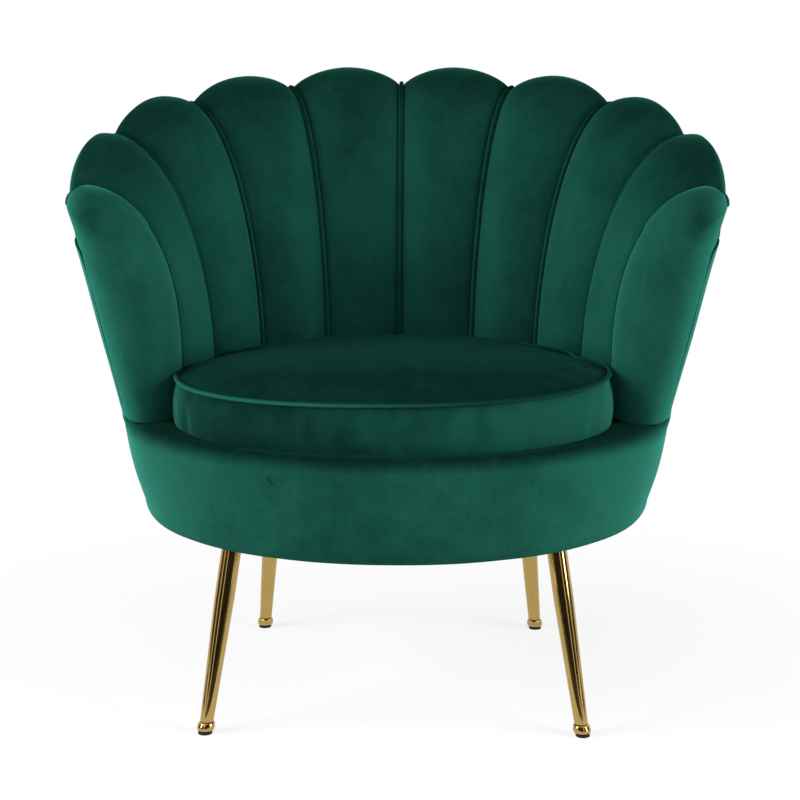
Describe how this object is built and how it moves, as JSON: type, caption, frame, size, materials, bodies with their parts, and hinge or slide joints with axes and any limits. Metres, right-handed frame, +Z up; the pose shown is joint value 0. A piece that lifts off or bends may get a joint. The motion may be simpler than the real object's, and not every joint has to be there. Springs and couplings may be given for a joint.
{
  "type": "upholstered tub armchair",
  "caption": "Velvet tub chair with a flared, scalloped, petal-shaped back, a loose round piped seat cushion, a padded drum base and slim tapered brass legs.",
  "frame": {"origin": "on the floor, under the middle of the chair's bounding box", "axes": "+X to the viewer's right when facing the chair, +Y to the back of the chair, +Z up; the chair faces -Y"},
  "size_m": [0.814, 0.662, 0.7752],
  "materials": {
    "velvet": "short-pile velvet with a soft sheen",
    "welt": "velvet piping",
    "brass": "polished brass plate",
    "plywood": "sawn plywood",
    "steel": "bare steel",
    "cloth": "black non-woven cloth",
    "rubber": "matt black"
  },
  "bodies": {
    "frame": {"base_ring": "plywood", "seat_ring": "plywood", "upright_front": "plywood", "upright_rear": "plywood", "upright_left": "plywood", "upright_right": "plywood", "seat_spring_1": "steel", "seat_spring_2": "steel", "seat_spring_3": "steel", "seat_spring_4": "steel", "seat_spring_5": "steel", "seat_deck": "cloth", "dust_cover": "cloth", "base_cover": "velvet", "back_shell": "plywood", "outside_cover": "velvet", "back_petal_1": "velvet", "back_petal_2": "velvet", "back_petal_3": "velvet", "back_petal_4": "velvet", "back_petal_5": "velvet", "back_petal_6": "velvet", "back_petal_7": "velvet", "back_petal_8": "velvet", "arm_petal_left": "velvet", "arm_petal_right": "velvet", "seam_welt_1": "welt", "seam_welt_2": "welt", "seam_welt_3": "welt", "seam_welt_4": "welt", "seam_welt_5": "welt", "seam_welt_6": "welt", "seam_welt_7": "welt", "seam_welt_8": "welt", "seam_welt_9": "welt", "leg_front_left": "brass", "leg_front_right": "brass", "leg_rear_left": "brass", "leg_rear_right": "brass", "tee_nut_front_left": "steel", "tee_nut_front_right": "steel", "tee_nut_rear_left": "steel", "tee_nut_rear_right": "steel"},
    "cushion": {"seat_cushion": "velvet", "cushion_welt_top": "welt", "cushion_welt_bottom": "welt"},
    "front_left_glide": {"glide_front_left": "brass", "pad_front_left": "rubber"},
    "front_right_glide": {"glide_front_right": "brass", "pad_front_right": "rubber"},
    "rear_left_glide": {"glide_rear_left": "brass", "pad_rear_left": "rubber"},
    "rear_right_glide": {"glide_rear_right": "brass", "pad_rear_right": "rubber"}
  },
  "joints": [
    {"name": "cushion_lift", "type": "slide", "parent": "frame", "child": "cushion", "axis": [0, 0, 1], "range_m": [0, 0.45]},
    {"name": "front_left_glide_screw", "type": "slide", "parent": "frame", "child": "front_left_glide", "axis": [-0.1457, -0.1108, -0.9831], "range_m": [0, 0.008]},
    {"name": "front_right_glide_screw", "type": "slide", "parent": "frame", "child": "front_right_glide", "axis": [0.1457, -0.1108, -0.9831], "range_m": [0, 0.008]},
    {"name": "rear_left_glide_screw", "type": "slide", "parent": "frame", "child": "rear_left_glide", "axis": [-0.0882, 0.2646, -0.9603], "range_m": [0, 0.008]},
    {"name": "rear_right_glide_screw", "type": "slide", "parent": "frame", "child": "rear_right_glide", "axis": [0.0882, 0.2646, -0.9603], "range_m": [0, 0.008]}
  ]
}
